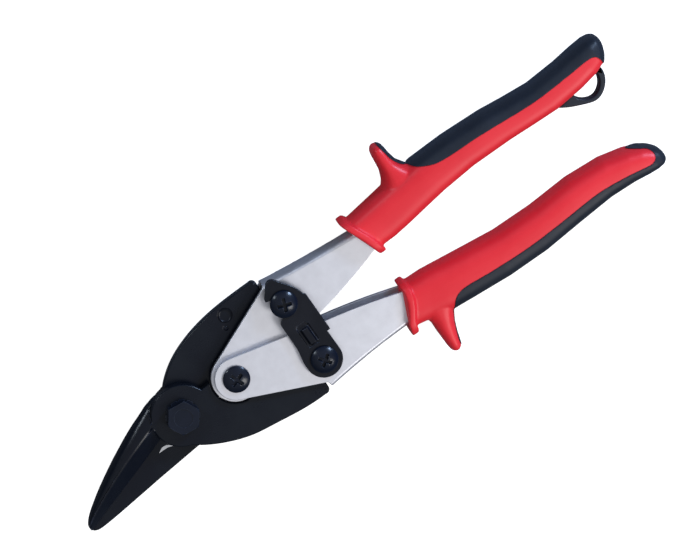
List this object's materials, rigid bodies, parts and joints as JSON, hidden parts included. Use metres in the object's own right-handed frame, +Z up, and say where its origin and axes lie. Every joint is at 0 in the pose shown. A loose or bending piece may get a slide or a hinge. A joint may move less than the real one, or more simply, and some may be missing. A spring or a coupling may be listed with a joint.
{
  "type": "aviation snips",
  "caption": "Left-cut aviation snips with offset jaws, compound-leverage linkage, channel handles, two-tone grips, thumb latch and hang loop, closed and latched",
  "frame": {"origin": "centre of the jaw bolt head's underside, on the jaw pivot's axis and in the plane that the tool lies on", "axes": "+X along the tool from the jaws to the grips, +Y towards the handle that carries the hang loop, +Z up, out of the face with the nut and the latch"},
  "size_m": [0.2518, 0.0808, 0.0202],
  "materials": {
    "blade_steel": "forged steel with a satin black-oxide coat, ground at the cutting edges",
    "black_fastener": "black-oxide screws and nuts, semi-gloss",
    "black_latch": "stamped steel with a black coat, satin",
    "handle_sheet": "satin nickel-plated pressed sheet with fine grain",
    "bright_steel": "plain bright steel",
    "red_grip": "red moulded plastic, semi-gloss, fine moulded texture",
    "black_grip": "black soft moulded skin, matt with a faint sheen"
  },
  "bodies": {
    "left_handle": {"left_handle_frame": "handle_sheet", "handle_pivot_screw": "black_fastener", "handle_pivot_nut": "black_fastener", "left_link_screw": "black_fastener", "left_link_nut": "black_fastener", "left_link_spacer": "bright_steel", "spring_bush": "bright_steel", "opening_spring": "bright_steel", "latch_washer": "bright_steel", "left_grip_core": "red_grip", "left_grip_soft": "black_grip"},
    "right_handle": {"right_handle_frame": "handle_sheet", "right_link_screw": "black_fastener", "right_link_nut": "black_fastener", "right_link_spacer": "bright_steel", "right_grip_core": "red_grip", "right_grip_soft": "black_grip", "hang_loop": "black_grip"},
    "top_blade": {"top_blade": "blade_steel", "pivot_bolt": "black_fastener", "pivot_nut": "black_fastener", "pivot_lock_disc": "black_fastener"},
    "bottom_blade": {"bottom_blade": "blade_steel"},
    "latch": {"latch_plate": "black_latch"}
  },
  "joints": [
    {"name": "handles", "type": "hinge", "parent": "left_handle", "child": "right_handle", "pos_m": [0.0236, 0.0004, 0.0095], "axis": [0, 0, 1], "range_deg": [0, 30]},
    {"name": "top_blade_link", "type": "hinge", "parent": "left_handle", "child": "top_blade", "pos_m": [0.0536, -0.0118, 0.0095], "axis": [0, 0, 1], "range_deg": [0, 7.03]},
    {"name": "jaws", "type": "hinge", "parent": "top_blade", "child": "bottom_blade", "pos_m": [0, 0, 0.0095], "axis": [0, 0, 1], "range_deg": [0, 16.06]},
    {"name": "latch_swing", "type": "hinge", "parent": "left_handle", "child": "latch", "pos_m": [0.0536, -0.0118, 0.0095], "axis": [0, 0, 1], "range_deg": [-75.01, 0]}
  ],
  "couplings": [
    {"joint": "top_blade_link", "follows": "handles", "ratio": 0.234},
    {"joint": "jaws", "follows": "handles", "ratio": 0.535},
    {"joint": "latch_swing", "follows": "handles", "ratio": -2.5}
  ]
}
